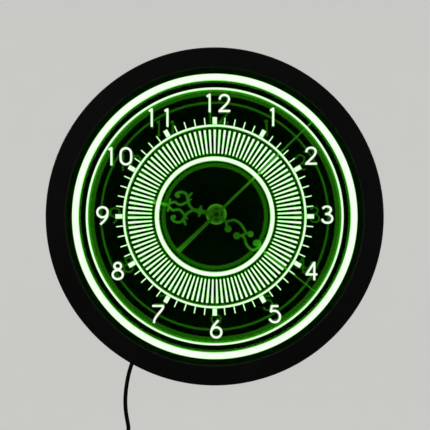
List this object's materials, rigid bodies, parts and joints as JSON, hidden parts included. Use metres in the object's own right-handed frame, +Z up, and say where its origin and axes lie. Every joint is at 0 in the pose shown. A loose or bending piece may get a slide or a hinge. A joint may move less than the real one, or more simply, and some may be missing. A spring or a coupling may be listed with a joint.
{
  "type": "wall clock",
  "caption": "Round black wall clock with an engraved clear acrylic dial lit green from its edge, ornate hands behind it, a quartz movement, and a low-voltage lead.",
  "frame": {"origin": "where the wall screw bears at the top of the keyhole, in the plane of the back cover's rear face", "axes": "+Z up, -Y the way the dial faces, +Y into the wall, +X to the right of someone facing the dial"},
  "size_m": [0.3, 0.052, 0.5364],
  "materials": {
    "matt_black_abs": "fine spark-eroded matt black moulding",
    "gloss_black_acrylic": "cast black acrylic, mirror gloss",
    "clear_acrylic": "cast clear acrylic, engraved and lit from its edge",
    "green_led": "green LED strip, lit",
    "hand_aluminium": "stamped, satin",
    "brass": "turned, bright",
    "zinc_steel": "zinc plated",
    "magnet": "ground ferrite magnet on a moulded pinion",
    "white_acetal": "moulded natural acetal",
    "black_rubber": "matt black soft PVC and rubber",
    "hook_tape": "woven black hook tape",
    "copper_wire": "enamelled copper winding",
    "circuit_board": "green solder mask on glass epoxy",
    "cell_sleeve": "printed shrink sleeve, plain"
  },
  "bodies": {
    "case": {"front_bezel": "matt_black_abs", "back_cover": "matt_black_abs", "led_carrier_ring": "matt_black_abs", "movement_case": "matt_black_abs", "movement_lid": "matt_black_abs", "switch_back_shell": "matt_black_abs", "switch_front_shell": "matt_black_abs", "plug_body": "matt_black_abs", "dial_plate": "gloss_black_acrylic", "acrylic_dial": "clear_acrylic", "led_strip": "green_led", "bush_washer": "brass", "bush_nut": "brass", "hanger_plate": "zinc_steel", "hanger_screw_1": "zinc_steel", "hanger_screw_2": "zinc_steel", "case_screw_1": "zinc_steel", "case_screw_2": "zinc_steel", "case_screw_3": "zinc_steel", "case_screw_4": "zinc_steel", "case_screw_5": "zinc_steel", "case_screw_6": "zinc_steel", "stator": "zinc_steel", "battery_contact_minus": "zinc_steel", "battery_contact_plus": "zinc_steel", "plug_shell": "zinc_steel", "train_plate": "white_acetal", "cord_gland": "black_rubber", "bush_gasket": "black_rubber", "led_lead": "black_rubber", "cord_lead": "black_rubber", "cord_tail_upper": "black_rubber", "cord_tail_lower": "black_rubber", "cord_coil": "black_rubber", "cord_tie": "hook_tape", "drive_coil": "copper_wire", "circuit_board": "circuit_board", "battery_cell": "cell_sleeve"},
    "hour_arbor": {"hour_wheel": "white_acetal", "hour_hand": "hand_aluminium"},
    "minute_arbor": {"cannon_pipe": "brass", "minute_hand": "hand_aluminium"},
    "seconds_arbor": {"seconds_wheel": "white_acetal", "second_hand": "hand_aluminium"},
    "motion_wheel": {"motion_wheel": "white_acetal"},
    "minute_drive_wheel": {"minute_drive_wheel": "white_acetal"},
    "intermediate_wheel": {"intermediate_wheel": "white_acetal"},
    "third_wheel": {"third_wheel": "white_acetal"},
    "rotor": {"rotor": "magnet"},
    "setting_knob": {"setting_knob": "white_acetal"},
    "switch_slider": {"switch_slider": "white_acetal"}
  },
  "joints": [
    {"name": "minute_hand_turn", "type": "hinge", "parent": "case", "child": "minute_arbor", "pos_m": [0.0015, -0.01, -0.1031], "axis": [0, 1, 0], "continuous": true},
    {"name": "hour_hand_turn", "type": "hinge", "parent": "case", "child": "hour_arbor", "pos_m": [0.0015, -0.01, -0.1031], "axis": [0, 1, 0], "continuous": true},
    {"name": "motion_wheel_turn", "type": "hinge", "parent": "case", "child": "motion_wheel", "pos_m": [-0.0075, -0.01, -0.1031], "axis": [0, 1, 0], "continuous": true},
    {"name": "setting_knob_turn", "type": "hinge", "parent": "case", "child": "setting_knob", "pos_m": [-0.01319, -0.01, -0.09555], "axis": [0, 1, 0], "continuous": true},
    {"name": "second_hand_turn", "type": "hinge", "parent": "case", "child": "seconds_arbor", "pos_m": [0.0015, -0.01, -0.1031], "axis": [0, 1, 0], "continuous": true},
    {"name": "rotor_turn", "type": "hinge", "parent": "case", "child": "rotor", "pos_m": [-0.00619, -0.01, -0.09326], "axis": [0, 1, 0], "continuous": true},
    {"name": "third_wheel_turn", "type": "hinge", "parent": "case", "child": "third_wheel", "pos_m": [-0.00325, -0.01, -0.09835], "axis": [0, 1, 0], "continuous": true},
    {"name": "intermediate_wheel_turn", "type": "hinge", "parent": "case", "child": "intermediate_wheel", "pos_m": [0.00929, -0.01, -0.0986], "axis": [0, 1, 0], "continuous": true},
    {"name": "minute_drive_wheel_turn", "type": "hinge", "parent": "case", "child": "minute_drive_wheel", "pos_m": [0.0015, -0.01, -0.1031], "axis": [0, 1, 0], "continuous": true},
    {"name": "switch_slide", "type": "slide", "parent": "case", "child": "switch_slider", "axis": [0, 0, -1], "range_m": [0, 0.004]}
  ],
  "couplings": [
    {"joint": "hour_hand_turn", "follows": "minute_hand_turn", "ratio": 0.083333},
    {"joint": "motion_wheel_turn", "follows": "minute_hand_turn", "ratio": -0.33333},
    {"joint": "setting_knob_turn", "follows": "minute_hand_turn", "ratio": 0.83333},
    {"joint": "rotor_turn", "follows": "second_hand_turn", "ratio": 30},
    {"joint": "third_wheel_turn", "follows": "second_hand_turn", "ratio": -5},
    {"joint": "intermediate_wheel_turn", "follows": "second_hand_turn", "ratio": -0.125},
    {"joint": "minute_drive_wheel_turn", "follows": "second_hand_turn", "ratio": 0.016667}
  ]
}
